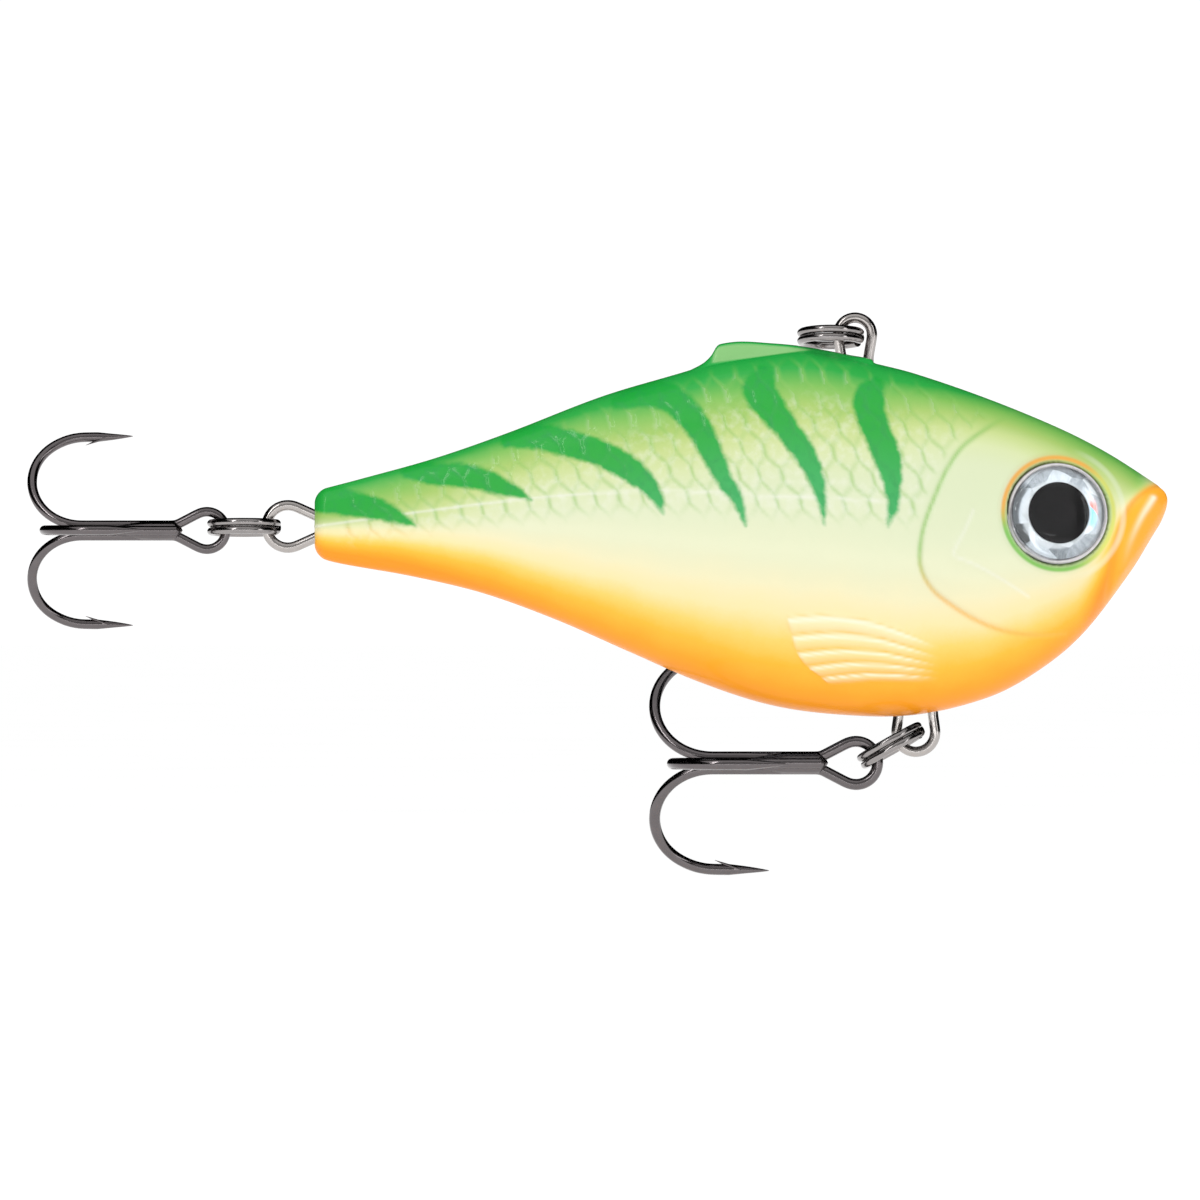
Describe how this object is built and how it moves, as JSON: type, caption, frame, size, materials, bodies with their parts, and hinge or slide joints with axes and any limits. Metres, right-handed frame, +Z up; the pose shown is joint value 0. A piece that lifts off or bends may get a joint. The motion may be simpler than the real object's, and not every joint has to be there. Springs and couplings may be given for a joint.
{
  "type": "crankbait lure",
  "caption": "Lipless rattling fishing lure: hollow fish-shaped body with a line tie on its back, 3-D eyes, split rings and treble hooks at belly and tail.",
  "frame": {"origin": "centre of the line tie's loop, in the lure's middle plane", "axes": "+X toward the nose, +Y the fish's left side, +Z up, with the lure level as it hangs from its line tie"},
  "size_m": [0.0937, 0.0175, 0.0463],
  "materials": {
    "body_paint": "moulded plastic painted green over pearl and orange, under a clear gloss coat",
    "hanger_steel": "bright drawn stainless wire",
    "ring_steel": "black-nickel plated spring wire",
    "hook_steel": "black-nickel plated hook wire",
    "eye_foil": "faceted holographic foil",
    "pupil_black": "black film",
    "clear_dome": "clear cast resin",
    "ballast_metal": "dull cast metal",
    "ball_steel": "polished steel"
  },
  "bodies": {
    "lure_body": {"body_shell_right": "body_paint", "body_shell_left": "body_paint", "line_tie_wire": "hanger_steel", "belly_hanger_wire": "hanger_steel", "tail_hanger_wire": "hanger_steel", "eye_foil_right": "eye_foil", "eye_foil_left": "eye_foil", "eye_pupil_right": "pupil_black", "eye_pupil_left": "pupil_black", "eye_dome_right": "clear_dome", "eye_dome_left": "clear_dome", "belly_ballast": "ballast_metal", "head_ballast": "ballast_metal"},
    "line_tie_ring": {"line_tie_split_ring": "ring_steel"},
    "tail_ring": {"tail_split_ring": "ring_steel"},
    "tail_hook": {"tail_hook_double": "hook_steel", "tail_hook_third": "hook_steel"},
    "belly_ring": {"belly_split_ring": "ring_steel"},
    "belly_hook": {"belly_hook_double": "hook_steel", "belly_hook_third": "hook_steel"},
    "rear_ball": {"rattle_ball_rear": "ball_steel"},
    "middle_ball": {"rattle_ball_middle": "ball_steel"},
    "front_ball": {"rattle_ball_front": "ball_steel"}
  },
  "joints": [
    {"name": "line_tie_ring_flip", "type": "hinge", "parent": "lure_body", "child": "line_tie_ring", "pos_m": [0, 0, 0], "axis": [0, 1, 0], "range_deg": [0, 190]},
    {"name": "tail_ring_swing", "type": "hinge", "parent": "lure_body", "child": "tail_ring", "pos_m": [-0.0466, 0, -0.01577], "axis": [0, 1, 0], "range_deg": [-85, 85]},
    {"name": "tail_hook_swing", "type": "hinge", "parent": "tail_ring", "child": "tail_hook", "pos_m": [-0.05019, 0, -0.01585], "axis": [0, 0, 1], "range_deg": [-75, 75]},
    {"name": "belly_ring_swing", "type": "hinge", "parent": "lure_body", "child": "belly_ring", "pos_m": [0.005, 0, -0.0327], "axis": [0, 1, 0], "range_deg": [-125, 2]},
    {"name": "belly_hook_swing", "type": "hinge", "parent": "belly_ring", "child": "belly_hook", "pos_m": [0.00299, 0, -0.03376], "axis": [-0.4909, 0, 0.8712], "range_deg": [-75, 1]},
    {"name": "rear_ball_roll", "type": "slide", "parent": "lure_body", "child": "rear_ball", "axis": [1, 0, 0], "range_m": [-0.0021, 0.0021]},
    {"name": "middle_ball_roll", "type": "slide", "parent": "lure_body", "child": "middle_ball", "axis": [1, 0, 0], "range_m": [-0.0018, 0.0018]},
    {"name": "front_ball_roll", "type": "slide", "parent": "lure_body", "child": "front_ball", "axis": [1, 0, 0], "range_m": [-0.0015, 0.0015]}
  ]
}
